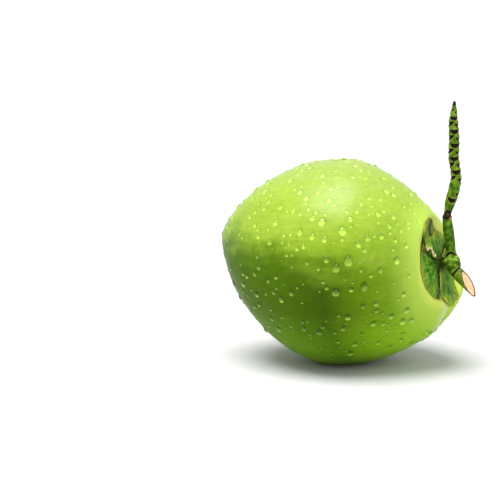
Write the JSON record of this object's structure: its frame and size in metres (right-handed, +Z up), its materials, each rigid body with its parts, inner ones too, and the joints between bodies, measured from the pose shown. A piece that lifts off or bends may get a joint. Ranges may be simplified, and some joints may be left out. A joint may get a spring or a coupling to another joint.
{
  "type": "green coconut",
  "caption": "Whole young coconut lying on its side, with smooth green skin, a leafy calyx at one end and a cut stalk that runs out into a scarred flower spike.",
  "frame": {"origin": "the centre of the flat spot that the fruit rests on", "axes": "+Z up as the fruit lies; +X level, towards the end with the calyx and stalk; +Y to the left of someone who looks along +X"},
  "size_m": [0.206, 0.1652, 0.2104],
  "materials": {
    "husk_skin": "smooth waxy green fruit skin, half glossy",
    "petal_skin": "leathery dark green, matt, with dry tan edges",
    "sepal_skin": "leathery mid green, matt, with torn dry edges",
    "stalk_skin": "green stalk, half matt, with dark crescent scars and a pale fibrous cut"
  },
  "bodies": {
    "root": {"husk": "husk_skin", "petal_1": "petal_skin", "petal_2": "petal_skin", "petal_3": "petal_skin", "sepal_1": "sepal_skin", "sepal_2": "sepal_skin", "sepal_3": "sepal_skin", "stalk": "stalk_skin"}
  },
  "joints": []
}
